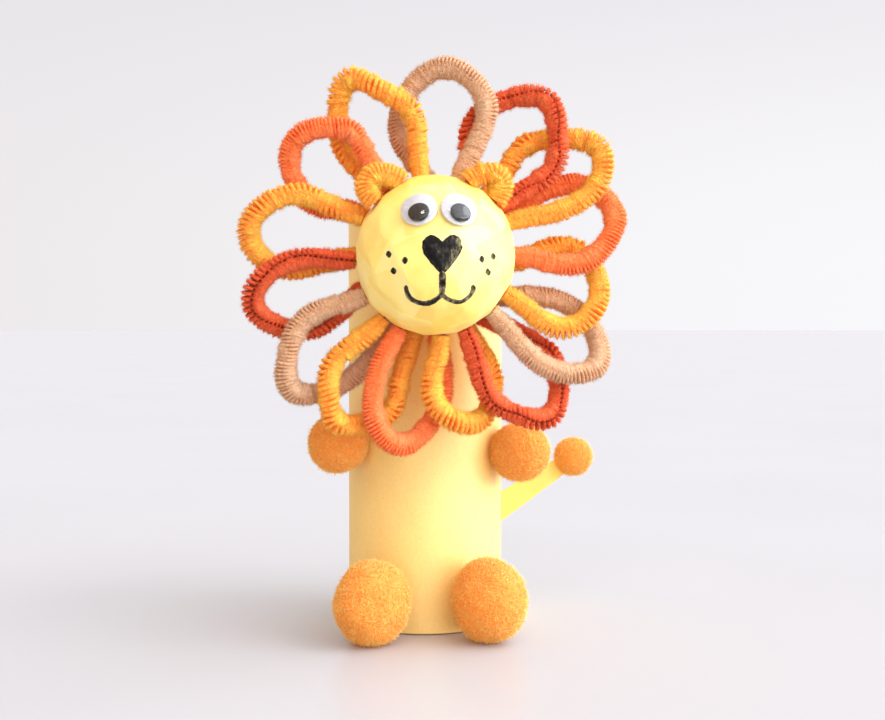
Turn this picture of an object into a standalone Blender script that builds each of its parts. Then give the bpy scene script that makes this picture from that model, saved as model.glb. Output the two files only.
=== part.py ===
"""Cardboard tube lion puppet.

A paper-wrapped card tube is the body, and a finger goes up it from below. A light ball covered
in paper strips is glued to its front as the head, with a pair of wobbly eyes, a mane of bent
chenille stems and two short stems as ears. Pompoms make the hands, the feet and the tuft of the
tail, which is a strip of card on the tube's back.

Metres, +Z up. The lion faces -Y, and left means -X, as seen from the front. While it is being
built, the tube's axis is x = y = 0. At the end the whole puppet is moved, so that the middle of
its footprint is at the origin.
"""

import bmesh
import bpy
from math import atan2, cos, pi, radians, sin, sqrt
from mathutils import Matrix, Vector

MM = 0.001
GAP = 0.3 * MM  # left between pieces that touch

# Tube: a roll core with a sheet of paper round it
TUBE_HEIGHT = 110 * MM
TUBE_RADIUS = 20.4 * MM
TUBE_WALL = 0.8 * MM
TUBE_SIDES = 56
WRAP_THICKNESS = 0.3 * MM
WRAP_INSET = 0.4 * MM  # the paper stops this short of the core's ends
WRAP_INNER = TUBE_RADIUS + GAP
WRAP_OUTER = WRAP_INNER + WRAP_THICKNESS
WRAP_OVERLAP = 24  # degrees of paper that lie over the paper's own start
WRAP_LIFT = 35  # degrees over which the paper climbs onto its start
SEAM_BEARING = 140  # degrees from +X towards +Y, at the back left

# Head: a ball with a skin of paper strips
HEAD_RADIUS = 19.35 * MM
STRIP_THICKNESS = 0.4 * MM
BALL_RADIUS = HEAD_RADIUS - STRIP_THICKNESS - GAP
GLUE_THICKNESS = 0.6 * MM
GLUE_RADIUS = 5.5 * MM
HEAD_CENTRE = Vector((
    -0.8 * MM,
    -(WRAP_OUTER + GLUE_THICKNESS + 2 * GAP + HEAD_RADIUS),
    97.75 * MM,
))

# Eyes: flat back, loose pupil and clear dome, square to the head's surface
FACE_TURN = -2  # degrees the face is turned towards -X
EYE_HALF_SPREAD = 15  # degrees
EYE_RISE = 28.5  # degrees above the head's equator
EYE_RADIUS = 4.25 * MM
EYE_BACK_THICKNESS = 0.5 * MM
DOME_RADIUS = 4.1 * MM
DOME_WALL = 0.3 * MM
DOME_LIFT = 0.15 * MM  # clear of the back
DOME_SIDE = 1.0 * MM  # straight part of the dome's side
DOME_RISE = 1.2 * MM  # crown above the straight part
PUPIL_RADIUS = 2.45 * MM
PUPIL_THICKNESS = 0.4 * MM
PUPIL_LIFT = 0.35 * MM  # clear of the back
# For each eye: how far the pupil hangs from the eye's middle, and how far round from straight down
PUPIL_HANG = {"left": (1.25 * MM, 8), "right": (1.25 * MM, 2)}

# Chenille stems: a pile of fibre on a twisted wire, bare where the wire goes into the head
PILE_RADIUS = 2.4 * MM
PINCHED_PILE = 1.5 * MM  # where the pile is pressed against the head
EAR_PILE_RADIUS = 2.0 * MM
PILE_SPREADS_OVER = 4 * MM
WIRE_RADIUS = 0.6 * MM
WIRE_REACH = 4.5 * MM  # into the head, below its surface
SOCKET_RADIUS = 0.95 * MM
WIRE_STEP = 0.005  # of the bare wire's length, over which the pile ends
STEM_STEPS = 2  # points read from the curve for each of the stem's own points
# How far behind the head's middle each row of stem ends is
MANE_FRONT_ROW = 2.5 * MM
MANE_BACK_ROW = 9.5 * MM
EAR_ROW = -4.0 * MM
# The part of a loop's length over which it comes from the back row to the front row
CROSSING = (0.36, 0.64)

# Mane loops, clockwise from the top as seen from the front: the bearing of the end in the back
# row, the points (mm from the head's middle, degrees clockwise from up), and the bearing of the
# end in the front row.
MANE_LOOPS = (
    (2, ((23.5, 351), (28.5, 345), (33.5, 345), (38, 348), (42, 352), (46, 359), (47, 4), (45, 11),
         (39, 20), (32, 21), (26, 20)), 17),
    (25, ((25, 23), (29, 19), (32, 16.5), (35, 16.5), (38, 18), (43, 24), (47.5, 31), (48.5, 36), (46, 41),
          (42, 47), (39, 52), (33, 55), (27, 53)), 52),
    (43, ((31.5, 40), (37, 39), (42, 45), (47, 50), (49, 53), (50, 57), (48, 62), (44, 67), (36, 70),
          (28, 69)), 64),
    (59, ((24, 59), (32, 59), (39, 61), (43.5, 65), (46.5, 72), (47, 78), (44, 84), (39, 91), (34, 94),
          (27, 92)), 88),
    (96, ((24, 90), (30, 84), (34.5, 85), (38, 87), (42, 96), (43, 103), (42, 109), (38, 118), (34, 121),
          (28, 120)), 116),
    (124, ((25, 112), (31, 108), (38.5, 109), (43, 112), (47.5, 117), (49.5, 123), (47, 128), (42, 133),
           (35, 136), (28, 135)), 134),
    (143, ((25.5, 132), (32, 130), (37, 128), (41, 130), (45, 134), (49.5, 142), (48.5, 147), (44, 152),
           (39, 158), (32, 159), (26, 158)), 157),
    (155, ((27, 152), (33, 152), (38, 156), (42.5, 163), (42.5, 168), (40.5, 174), (36.5, 180), (32, 182),
           (26, 179)), 174),
    (178, ((26.5, 174), (34, 175), (37.5, 177), (44, 183), (47.5, 189), (46.5, 195), (44, 199), (41, 202),
           (35, 205), (28.5, 207)), 205),
    (193, ((26, 194), (33, 195), (39, 194), (43.5, 199), (46, 206), (47.5, 211), (43.5, 216), (38, 223),
           (32.5, 224), (26.5, 221)), 219),
    (211, ((28, 211), (35, 213), (42, 218), (48, 225), (47, 231), (42, 237), (38.5, 242), (33, 245),
           (26, 243)), 239),
    (247, ((24.5, 241), (31, 238), (37, 240), (43, 247), (46, 254), (44.5, 260), (39.5, 265), (33, 269),
           (25.5, 268)), 266),
    (271, ((24.5, 269), (30, 265), (37, 265), (43, 270), (46, 278), (44, 285), (39, 292), (34, 296),
           (27, 295)), 299),
    (302, ((24.5, 300), (29, 294), (34, 294), (37.5, 297), (40, 300), (43, 304), (44, 307), (44, 313),
           (39.5, 322), (36, 327), (30.5, 326)), 325),
    (324, ((29, 320), (35, 320), (40.5, 325), (46.5, 330), (48.5, 335), (44, 340), (39.5, 346),
           (35.5, 352), (30.5, 352), (25.5, 351)), 350),
)
EAR_STEMS = {
    "left": (309, ((22, 311), (24, 315.5), (24.3, 321), (22.7, 328)), 335),
    "right": (22, ((22, 30), (24, 35), (24, 41), (22, 46)), 49),
}

# Pompoms: middle and the radii across, along the way out from the tube, and up
HANDS = {
    "left": (Vector((-24.0, -14.0, 49.8)) * MM, Vector((8.0, 8.3, 8.0)) * MM),
    "right": (Vector((24.3, -14.0, 47.1)) * MM, Vector((8.0, 8.3, 8.0)) * MM),
}
FEET = {
    "left": (Vector((-15.6, -28.8, 10.6)) * MM, Vector((9.8, 11.6, 11.2)) * MM),
    "right": (Vector((14.2, -28.6, 10.6)) * MM, Vector((9.6, 11.4, 11.2)) * MM),
}

# Tail: a strip of card across the tube's back, with a tuft on its tip
TAIL_START = (-4 * MM, 9 * MM)
TAIL_END = (44.5 * MM, 40.7 * MM)
TAIL_HALF_WIDTHS = (5.5 * MM, 2.4 * MM)
TAIL_THICKNESS = 0.4 * MM
TAIL_FRONT = WRAP_OUTER + GAP
TUFT_CENTRE = Vector((46.0 * MM, TAIL_FRONT + TAIL_THICKNESS / 2, 42.0 * MM))
TUFT_RADIUS = 5.7 * MM


def clear_scene():
    """Start from nothing."""
    for obj in list(bpy.data.objects):
        bpy.data.objects.remove(obj, do_unlink=True)


def material(name, colour, roughness, metallic=0.0, alpha=1.0):
    """A Principled material."""
    mat = bpy.data.materials.new(name)
    mat.use_nodes = True
    shader = mat.node_tree.nodes["Principled BSDF"]
    shader.inputs["Base Color"].default_value = (*colour, 1.0)
    shader.inputs["Roughness"].default_value = roughness
    shader.inputs["Metallic"].default_value = metallic
    shader.inputs["Alpha"].default_value = alpha
    return mat


def add_object(name, data, mat=None, location=(0, 0, 0)):
    """Link an object under the puppet's frame."""
    obj = bpy.data.objects.new(name, data)
    bpy.context.scene.collection.objects.link(obj)
    obj.parent = bpy.data.objects.get("puppet_frame")
    obj.location = location
    if mat:
        obj.data.materials.append(mat)
    return obj


def mesh_from(bm, name, smooth_angle=40):
    """A mesh from a bmesh, with round faces shaded smooth."""
    bmesh.ops.recalc_face_normals(bm, faces=bm.faces)
    mesh = bpy.data.meshes.new(name)
    bm.to_mesh(mesh)
    bm.free()
    mesh.shade_smooth()
    mesh.set_sharp_from_angle(angle=radians(smooth_angle))
    return mesh


def make_cutter(name, bm):
    """A guide body for Booleans, which is no piece of the puppet."""
    obj = add_object(name, mesh_from(bm, name))
    obj.hide_render = True
    obj.display_type = "WIRE"
    return obj


def cut(target, cutter):
    """Take one body out of another."""
    modifier = target.modifiers.new("cut_" + cutter.name, "BOOLEAN")
    modifier.operation = "DIFFERENCE"
    modifier.object = cutter


def cylinder(bm, radius, start, end, sides):
    """Add a closed cylinder between two points."""
    along = end - start
    turn = along.to_track_quat("Z", "Y").to_matrix().to_4x4()
    bmesh.ops.create_cone(
        bm,
        cap_ends=True,
        segments=sides,
        radius1=radius,
        radius2=radius,
        depth=along.length,
        matrix=Matrix.Translation((start + end) / 2) @ turn,
    )


def ball(bm, radius, centre, segments=26, rings=15):
    """Add a sphere whose poles are at the front and the back."""
    turn = Matrix.Rotation(pi / 2, 4, "X")
    bmesh.ops.create_uvsphere(
        bm,
        u_segments=segments,
        v_segments=rings,
        radius=radius,
        matrix=Matrix.Translation(centre) @ turn,
    )


def turned(profile, sides):
    """A closed body turned about Z from (radius, height) points, closed at the axis if they reach it."""
    bm = bmesh.new()
    verts = [bm.verts.new((r, 0, z)) for r, z in profile]
    edges = [bm.edges.new(pair) for pair in zip(verts, verts[1:])]
    if profile[0][0] > 0:
        edges.append(bm.edges.new((verts[-1], verts[0])))
    bmesh.ops.spin(
        bm,
        geom=verts + edges,
        cent=(0, 0, 0),
        axis=(0, 0, 1),
        angle=2 * pi,
        steps=sides,
        use_duplicate=False,
    )
    bmesh.ops.remove_doubles(bm, verts=bm.verts, dist=1e-6)
    return bm


def tube_core(mat):
    """The card roll."""
    inner = TUBE_RADIUS - TUBE_WALL
    profile = (
        (inner, 0),
        (TUBE_RADIUS, 0),
        (TUBE_RADIUS, TUBE_HEIGHT),
        (inner, TUBE_HEIGHT),
    )
    add_object("tube_core", mesh_from(turned(profile, TUBE_SIDES), "tube_core"), mat)


def tube_paper(mat):
    """The sheet round the roll, whose end climbs over its start at the seam."""
    step = 360 / TUBE_SIDES
    count = round((360 + WRAP_OVERLAP) / step)
    bottom = WRAP_INSET
    top = TUBE_HEIGHT - WRAP_INSET
    bm = bmesh.new()
    rings = []
    for i in range(count + 1):
        turn = i * step
        climb = min(max((turn - 360 + WRAP_LIFT) / WRAP_LIFT, 0), 1)
        lift = (WRAP_THICKNESS + GAP) * climb * climb * (3 - 2 * climb)
        bearing = radians(SEAM_BEARING + turn)
        radii = (WRAP_INNER + lift, WRAP_OUTER + lift)
        corners = ((radii[0], bottom), (radii[1], bottom), (radii[1], top), (radii[0], top))
        rings.append([bm.verts.new((r * cos(bearing), r * sin(bearing), z)) for r, z in corners])
    for ring, following in zip(rings, rings[1:]):
        for k in range(4):
            after = (k + 1) % 4
            bm.faces.new((ring[k], ring[after], following[after], following[k]))
    bm.faces.new(rings[0])
    bm.faces.new(rings[-1][::-1])
    add_object("tube_paper", mesh_from(bm, "tube_paper"), mat)


def surface_direction(bearing, depth):
    """Unit vector from the head's middle to a point on its surface, at a depth behind the middle."""
    across = sqrt(1 - (depth / HEAD_RADIUS) ** 2)
    angle = radians(bearing)
    return Vector((across * sin(angle), depth / HEAD_RADIUS, across * cos(angle)))


def stem_route(first, points, last, depths):
    """The points a stem is bent through, from the end in one row to the end in another."""
    start = surface_direction(first, depths[0])
    end = surface_direction(last, depths[1])
    inside = HEAD_RADIUS - WIRE_REACH
    outside = HEAD_RADIUS + GAP
    flat = [Vector((r * MM * sin(radians(a)), r * MM * cos(radians(a)))) for r, a in points]
    flat = [start.xz * outside] + flat + [end.xz * outside]
    along = [0.0]
    for a, b in zip(flat, flat[1:]):
        along.append(along[-1] + (b - a).length)
    route = [start * inside, start * outside]
    for place, at in zip(flat[1:-1], along[1:-1]):
        share = (at / along[-1] - CROSSING[0]) / (CROSSING[1] - CROSSING[0])
        share = min(max(share, 0), 1)
        share = share * share * (3 - 2 * share)
        route.append(Vector((place.x, depths[0] + (depths[1] - depths[0]) * share, place.y)))
    route += [end * outside, end * inside]
    return [HEAD_CENTRE + p for p in route]


def smooth_points(route, steps):
    """Centripetal Catmull-Rom points through a route's inner points, and its two ends."""
    points = [route[0]]
    for a, b, c, d in zip(route, route[1:], route[2:], route[3:]):
        t1 = (b - a).length ** 0.5
        t2 = t1 + (c - b).length ** 0.5
        t3 = t2 + (d - c).length ** 0.5
        for i in range(steps):
            t = t1 + (t2 - t1) * i / steps
            ab = a + (b - a) * (t / t1)
            bc = b + (c - b) * ((t - t1) / (t2 - t1))
            cd = c + (d - c) * ((t - t2) / (t3 - t2))
            abc = ab + (bc - ab) * (t / t2)
            bcd = bc + (cd - bc) * ((t - t1) / (t3 - t1))
            points.append(abc + (bcd - abc) * ((t - t1) / (t2 - t1)))
    return points + route[-2:]


def stem(name, route, mat, pile_radius=PILE_RADIUS):
    """A chenille stem: a tube of pile that ends in bare wire at both ends."""
    points = smooth_points(route, STEM_STEPS)
    first, pile, last = points[0], points[1:-1], points[-1]
    along = [0.0]
    for a, b in zip(pile, pile[1:]):
        along.append(along[-1] + (b - a).length)
    profile = [(first, WIRE_RADIUS), (pile[0].lerp(first, WIRE_STEP), WIRE_RADIUS)]
    for point, at in zip(pile, along):
        from_end = min(at, along[-1] - at)
        share = min(from_end / PILE_SPREADS_OVER, 1)
        profile.append((point, PINCHED_PILE + (pile_radius - PINCHED_PILE) * share))
    profile += [(pile[-1].lerp(last, WIRE_STEP), WIRE_RADIUS), (last, WIRE_RADIUS)]
    curve = bpy.data.curves.new(name, "CURVE")
    curve.dimensions = "3D"
    curve.bevel_depth = PILE_RADIUS
    curve.bevel_resolution = 2
    curve.use_fill_caps = True
    spline = curve.splines.new("POLY")
    spline.points.add(len(profile) - 1)
    for spot, (point, radius) in zip(spline.points, profile):
        spot.co = (*point, 1)
        spot.radius = radius / PILE_RADIUS
    add_object(name, curve, mat)


def wire_sockets(directions):
    """Guide body: one bore for each wire end."""
    bm = bmesh.new()
    for way in directions:
        deep = HEAD_CENTRE + way * (HEAD_RADIUS - WIRE_REACH - GAP)
        clear = HEAD_CENTRE + way * (HEAD_RADIUS + WIRE_RADIUS)
        cylinder(bm, SOCKET_RADIUS, deep, clear, 8)
    return make_cutter("wire_sockets", bm)


def head(ball_mat, paper_mat, glue_mat, sockets):
    """The ball, its skin of strips, and the glue that holds it to the tube."""
    bm = bmesh.new()
    ball(bm, BALL_RADIUS, HEAD_CENTRE)
    core = add_object("head_ball", mesh_from(bm, "head_ball"), ball_mat)
    cut(core, sockets)

    bm = bmesh.new()
    ball(bm, HEAD_RADIUS, HEAD_CENTRE)
    skin = add_object("head_paper", mesh_from(bm, "head_paper"), paper_mat)
    bm = bmesh.new()
    ball(bm, BALL_RADIUS + GAP, HEAD_CENTRE)
    cut(skin, make_cutter("ball_room", bm))
    cut(skin, sockets)

    spill = 1.5 * MM  # beyond the narrowest place, into the head and the tube, before they are cut out
    bm = bmesh.new()
    front = Vector((HEAD_CENTRE.x, -WRAP_OUTER - GLUE_THICKNESS - spill, HEAD_CENTRE.z))
    back = Vector((HEAD_CENTRE.x, -WRAP_OUTER + spill, HEAD_CENTRE.z))
    cylinder(bm, GLUE_RADIUS, front, back, 24)
    glue = add_object("head_glue_pad", mesh_from(bm, "head_glue_pad"), glue_mat)
    bm = bmesh.new()
    ball(bm, HEAD_RADIUS + GAP, HEAD_CENTRE, 56, 40)
    cut(glue, make_cutter("head_room", bm))
    cut(glue, tube_room())


def tube_room():
    """Guide body: the wrapped tube with its clearance."""
    found = bpy.data.objects.get("tube_room")
    if found:
        return found
    bm = bmesh.new()
    margin = 5 * MM
    below = Vector((0, 0, -margin))
    above = Vector((0, 0, TUBE_HEIGHT + margin))
    cylinder(bm, WRAP_OUTER + GAP, below, above, 4 * TUBE_SIDES)
    return make_cutter("tube_room", bm)


def eye(side, azimuth, mats):
    """One wobbly eye. Its own Z is the way it looks, and its own -Y is down the face."""
    hang, swing = PUPIL_HANG[side]
    rise = radians(EYE_RISE)
    turn = radians(azimuth)
    look = Vector((sin(turn) * cos(rise), -cos(turn) * cos(rise), sin(rise)))
    up = (Vector((0, 0, 1)) - look * look.z).normalized()
    frame = Matrix((up.cross(look), up, look)).transposed().to_4x4()
    seat = Matrix.Translation(HEAD_CENTRE + look * (HEAD_RADIUS + GAP)) @ frame

    profile = (
        (0, 0),
        (EYE_RADIUS, 0),
        (EYE_RADIUS, EYE_BACK_THICKNESS),
        (0, EYE_BACK_THICKNESS),
    )
    back = add_object(f"eye_{side}_back", mesh_from(turned(profile, 32), "eye_back"), mats[0])
    back.matrix_local = seat

    base = EYE_BACK_THICKNESS + PUPIL_LIFT
    slope = PUPIL_THICKNESS / 4
    profile = (
        (0, base),
        (PUPIL_RADIUS - slope, base),
        (PUPIL_RADIUS, base + slope),
        (PUPIL_RADIUS, base + PUPIL_THICKNESS - slope),
        (PUPIL_RADIUS - slope, base + PUPIL_THICKNESS),
        (0, base + PUPIL_THICKNESS),
    )
    bm = turned(profile, 32)
    away = Vector((sin(radians(swing)), -cos(radians(swing)), 0)) * hang
    bmesh.ops.translate(bm, verts=bm.verts, vec=away)
    pupil = add_object(f"eye_{side}_pupil", mesh_from(bm, "eye_pupil"), mats[1])
    pupil.matrix_local = seat

    foot = EYE_BACK_THICKNESS + DOME_LIFT
    crown = foot + DOME_SIDE
    quarter = 5
    profile = [(DOME_RADIUS, foot)]
    for i in range(quarter + 1):
        angle = pi / 2 * i / quarter
        profile.append((DOME_RADIUS * cos(angle), crown + DOME_RISE * sin(angle)))
    for i in range(quarter, -1, -1):
        angle = pi / 2 * i / quarter
        radius = (DOME_RADIUS - DOME_WALL) * cos(angle)
        profile.append((radius, crown + (DOME_RISE - DOME_WALL) * sin(angle)))
    profile.append((DOME_RADIUS - DOME_WALL, foot))
    profile = [(0 if r < 1e-9 else r, z) for r, z in profile]
    dome = add_object(f"eye_{side}_dome", mesh_from(turned(profile, 28), "eye_dome"), mats[2])
    dome.matrix_local = seat


def pompom(name, centre, radii, mat, outward=None):
    """A ball of fluff, with its second radius along the way out from the tube."""
    bm = bmesh.new()
    bmesh.ops.create_icosphere(bm, subdivisions=3, radius=1)
    bmesh.ops.scale(bm, vec=radii, verts=bm.verts)
    obj = add_object(name, mesh_from(bm, name, 60), mat, centre)
    if outward:
        obj.rotation_euler.z = atan2(outward.y, outward.x) - pi / 2
    return obj


def hands_and_feet(hand_mat, foot_mat):
    """Pompoms that are pressed flat where they meet the tube and the table."""
    bm = bmesh.new()
    bmesh.ops.create_cube(bm, size=2 * TUBE_HEIGHT)
    bmesh.ops.translate(bm, vec=(0, 0, -TUBE_HEIGHT), verts=bm.verts)
    table = make_cutter("table_room", bm)
    for side, (centre, radii) in HANDS.items():
        obj = pompom(f"hand_{side}", centre, radii, hand_mat, centre.xy)
        cut(obj, tube_room())
    for side, (centre, radii) in FEET.items():
        obj = pompom(f"foot_{side}", centre, radii, foot_mat, centre.xy)
        cut(obj, tube_room())
        cut(obj, table)


def tail_outline(margin):
    """The strip's four corners as (x, z), grown by a margin all round."""
    start = Vector(TAIL_START)
    end = Vector(TAIL_END)
    along = (end - start).normalized()
    across = Vector((-along.y, along.x))
    start = start - along * margin
    end = end + along * margin
    wide, narrow = (w + margin for w in TAIL_HALF_WIDTHS)
    return (
        start + across * wide,
        start - across * wide,
        end - across * narrow,
        end + across * narrow,
    )


def tail_slab(margin):
    """The strip as a body, grown by a margin."""
    bm = bmesh.new()
    corners = tail_outline(margin)
    front = TAIL_FRONT - margin
    back = TAIL_FRONT + TAIL_THICKNESS + margin
    near = [bm.verts.new((p.x, front, p.y)) for p in corners]
    far = [bm.verts.new((p.x, back, p.y)) for p in corners]
    bm.faces.new(near)
    bm.faces.new(far[::-1])
    for k in range(4):
        after = (k + 1) % 4
        bm.faces.new((near[after], near[k], far[k], far[after]))
    return bm


def tail(card_mat, tuft_mat):
    """The strip, and the tuft that is slit to take its tip."""
    add_object("tail_strip", mesh_from(tail_slab(0), "tail_strip"), card_mat)
    tuft = pompom("tail_pompom", TUFT_CENTRE, Vector((1, 1, 1)) * TUFT_RADIUS, tuft_mat)
    cut(tuft, make_cutter("tail_room", tail_slab(GAP)))


def centre_footprint(frame):
    """Move the puppet so that the middle of its box's base is the origin."""
    bpy.context.view_layer.update()
    graph = bpy.context.evaluated_depsgraph_get()
    lows = Vector((1e9, 1e9, 1e9))
    highs = -lows
    for obj in bpy.data.objects:
        if obj.type not in ("MESH", "CURVE") or obj.hide_render:
            continue
        evaluated = obj.evaluated_get(graph)
        mesh = evaluated.to_mesh()
        for vert in mesh.vertices:
            place = obj.matrix_world @ vert.co
            lows = Vector(map(min, lows, place))
            highs = Vector(map(max, highs, place))
        evaluated.to_mesh_clear()
    middle = (lows + highs) / 2
    frame.location = (-middle.x, -middle.y, -lows.z)


def build():
    """Make every piece."""
    clear_scene()
    frame = bpy.data.objects.new("puppet_frame", None)
    bpy.context.scene.collection.objects.link(frame)

    card = material("card", (0.55, 0.42, 0.28), 0.9)
    paper = material("yellow_paper", (0.90, 0.80, 0.42), 0.85)
    strips = material("pale_strips", (0.93, 0.84, 0.46), 0.8)
    pulp = material("pulp_ball", (0.88, 0.87, 0.84), 0.9)
    glue = material("dried_glue", (0.86, 0.84, 0.76), 0.35)
    eye_mats = (
        material("eye_white", (0.92, 0.92, 0.92), 0.3),
        material("eye_black", (0.01, 0.01, 0.012), 0.25),
        material("eye_clear", (0.95, 0.97, 1.0), 0.05, alpha=0.2),
    )
    pile = {
        "beige": material("beige_pile", (0.80, 0.50, 0.28), 0.95),
        "rust": material("rust_pile", (0.80, 0.16, 0.04), 0.95),
        "yellow": material("yellow_pile", (0.95, 0.42, 0.04), 0.95),
        "orange": material("orange_pile", (0.90, 0.18, 0.04), 0.95),
    }
    fluff = material("orange_fluff", (0.93, 0.25, 0.03), 0.95)

    tube_core(card)
    tube_paper(paper)

    colours = ("beige", "rust", "yellow", "orange", "yellow")
    rows = (MANE_BACK_ROW, MANE_FRONT_ROW)
    directions = []
    for i, (first, points, last) in enumerate(MANE_LOOPS):
        route = stem_route(first, points, last, rows)
        stem(f"mane_loop_{i + 1:02d}", route, pile[colours[i % len(colours)]])
        directions += [surface_direction(first, rows[0]), surface_direction(last, rows[1])]
    for side, (first, points, last) in EAR_STEMS.items():
        route = stem_route(first, points, last, (EAR_ROW, EAR_ROW))
        stem(f"ear_{side}", route, pile["yellow"], EAR_PILE_RADIUS)
        directions += [surface_direction(first, EAR_ROW), surface_direction(last, EAR_ROW)]
    head(pulp, strips, glue, wire_sockets(directions))

    eye("left", FACE_TURN - EYE_HALF_SPREAD, eye_mats)
    eye("right", FACE_TURN + EYE_HALF_SPREAD, eye_mats)
    hands_and_feet(fluff, fluff)
    tail(paper, fluff)
    centre_footprint(frame)


build()
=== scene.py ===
"""The looks of the cardboard tube lion puppet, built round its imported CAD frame."""
from math import atan2, cos, pi, radians, sin, sqrt

import bmesh
import bpy
import numpy as np
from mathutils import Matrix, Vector


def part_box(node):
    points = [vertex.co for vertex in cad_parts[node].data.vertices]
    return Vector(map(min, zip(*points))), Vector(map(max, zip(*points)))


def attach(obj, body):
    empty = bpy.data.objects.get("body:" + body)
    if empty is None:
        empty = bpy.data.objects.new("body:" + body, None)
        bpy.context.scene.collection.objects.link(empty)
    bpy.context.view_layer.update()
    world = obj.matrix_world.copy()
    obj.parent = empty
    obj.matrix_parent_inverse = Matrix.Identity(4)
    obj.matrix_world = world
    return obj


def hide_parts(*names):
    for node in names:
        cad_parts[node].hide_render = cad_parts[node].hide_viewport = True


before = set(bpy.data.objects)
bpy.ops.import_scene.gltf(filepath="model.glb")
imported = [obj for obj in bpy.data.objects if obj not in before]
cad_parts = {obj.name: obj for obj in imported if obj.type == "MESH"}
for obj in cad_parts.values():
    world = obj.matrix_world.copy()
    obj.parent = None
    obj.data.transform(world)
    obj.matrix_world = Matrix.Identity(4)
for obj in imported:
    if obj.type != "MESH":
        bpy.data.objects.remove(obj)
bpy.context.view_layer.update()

SCENE = bpy.context.scene
MM = 0.001

# ---- places read from the frame


def middle(node):
    """Middle of a CAD node's box."""
    low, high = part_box(node)
    return (low + high) / 2


def half_depth(node):
    """Half of a CAD node's size from front to back."""
    low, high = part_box(node)
    return (high.y - low.y) / 2


TUBE_AXIS = middle("tube_core")
TUBE_LOW, TUBE_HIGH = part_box("tube_core")
TUBE_RADIUS = (TUBE_HIGH.x - TUBE_LOW.x) / 2
TUBE_HEIGHT = TUBE_HIGH.z
TUBE_FOOT = np.array([TUBE_AXIS.x, TUBE_AXIS.y, 0])
HEAD_AT = np.array(middle("head_paper"))
HEAD_RADIUS = half_depth("head_paper")
BALL_RADIUS = half_depth("head_ball")

# ---- sizes shared with the design

GAP = 0.3 * MM
WRAP_THICKNESS = 0.3 * MM
WRAP_INSET = 0.4 * MM
WRAP_INNER = TUBE_RADIUS + GAP
WRAP_OUTER = WRAP_INNER + WRAP_THICKNESS
TUBE_WALL = 0.8 * MM
SEAM_BEARING = 140
WRAP_OVERLAP = 24
WRAP_LIFT = 35

FACE_TURN = -2
EYE_HALF_SPREAD = 15
EYE_RISE = 28.5
EYE_RADIUS = 4.25 * MM
EYE_BACK_THICKNESS = 0.5 * MM
DOME_RADIUS = 4.1 * MM
DOME_WALL = 0.3 * MM
DOME_SIDE = 1.0 * MM
DOME_RISE = 1.2 * MM
DOME_FOOT_LIFT = 0.15 * MM
PUPIL_RADIUS = 2.45 * MM
PUPIL_THICKNESS = 0.4 * MM
PUPIL_LIFT = 0.35 * MM
PUPIL_HANG = {"left": (1.25 * MM, 8), "right": (1.25 * MM, 2)}

WIRE_REACH = 4.5 * MM
MANE_FRONT_ROW = 2.5 * MM
MANE_BACK_ROW = 9.5 * MM
EAR_ROW = -4.0 * MM
CROSSING = (0.36, 0.64)  # where a loop goes from one row to the other, as shares of its length
# bearing out of the head, (mm, bearing) of each bend, and bearing back in, clockwise from the top
MANE_LOOPS = (
    (2, ((23.5, 351), (28.5, 345), (33.5, 345), (38, 348), (42, 352), (46, 359), (47, 4), (45, 11),
         (39, 20), (32, 21), (26, 20)), 17),
    (25, ((25, 23), (29, 19), (32, 16.5), (35, 16.5), (38, 18), (43, 24), (47.5, 31), (48.5, 36), (46, 41),
          (42, 47), (39, 52), (33, 55), (27, 53)), 52),
    (43, ((31.5, 40), (37, 39), (42, 45), (47, 50), (49, 53), (50, 57), (48, 62), (44, 67), (36, 70),
          (28, 69)), 64),
    (59, ((24, 59), (32, 59), (39, 61), (43.5, 65), (46.5, 72), (47, 78), (44, 84), (39, 91), (34, 94),
          (27, 92)), 88),
    (96, ((24, 90), (30, 84), (34.5, 85), (38, 87), (42, 96), (43, 103), (42, 109), (38, 118), (34, 121),
          (28, 120)), 116),
    (124, ((25, 112), (31, 108), (38.5, 109), (43, 112), (47.5, 117), (49.5, 123), (47, 128), (42, 133),
           (35, 136), (28, 135)), 134),
    (143, ((25.5, 132), (32, 130), (37, 128), (41, 130), (45, 134), (49.5, 142), (48.5, 147), (44, 152),
           (39, 158), (32, 159), (26, 158)), 157),
    (155, ((27, 152), (33, 152), (38, 156), (42.5, 163), (42.5, 168), (40.5, 174), (36.5, 180), (32, 182),
           (26, 179)), 174),
    (178, ((26.5, 174), (34, 175), (37.5, 177), (44, 183), (47.5, 189), (46.5, 195), (44, 199), (41, 202),
           (35, 205), (28.5, 207)), 205),
    (193, ((26, 194), (33, 195), (39, 194), (43.5, 199), (46, 206), (47.5, 211), (43.5, 216), (38, 223),
           (32.5, 224), (26.5, 221)), 219),
    (211, ((28, 211), (35, 213), (42, 218), (48, 225), (47, 231), (42, 237), (38.5, 242), (33, 245),
           (26, 243)), 239),
    (247, ((24.5, 241), (31, 238), (37, 240), (43, 247), (46, 254), (44.5, 260), (39.5, 265), (33, 269),
           (25.5, 268)), 266),
    (271, ((24.5, 269), (30, 265), (37, 265), (43, 270), (46, 278), (44, 285), (39, 292), (34, 296),
           (27, 295)), 299),
    (302, ((24.5, 300), (29, 294), (34, 294), (37.5, 297), (40, 300), (43, 304), (44, 307), (44, 313),
           (39.5, 322), (36, 327), (30.5, 326)), 325),
    (324, ((29, 320), (35, 320), (40.5, 325), (46.5, 330), (48.5, 335), (44, 340), (39.5, 346),
           (35.5, 352), (30.5, 352), (25.5, 351)), 350),
)
EAR_STEMS = {
    "left": (309, ((22, 311), (24, 315.5), (24.3, 321), (22.7, 328)), 335),
    "right": (22, ((22, 30), (24, 35), (24, 41), (22, 46)), 49),
}
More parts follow.
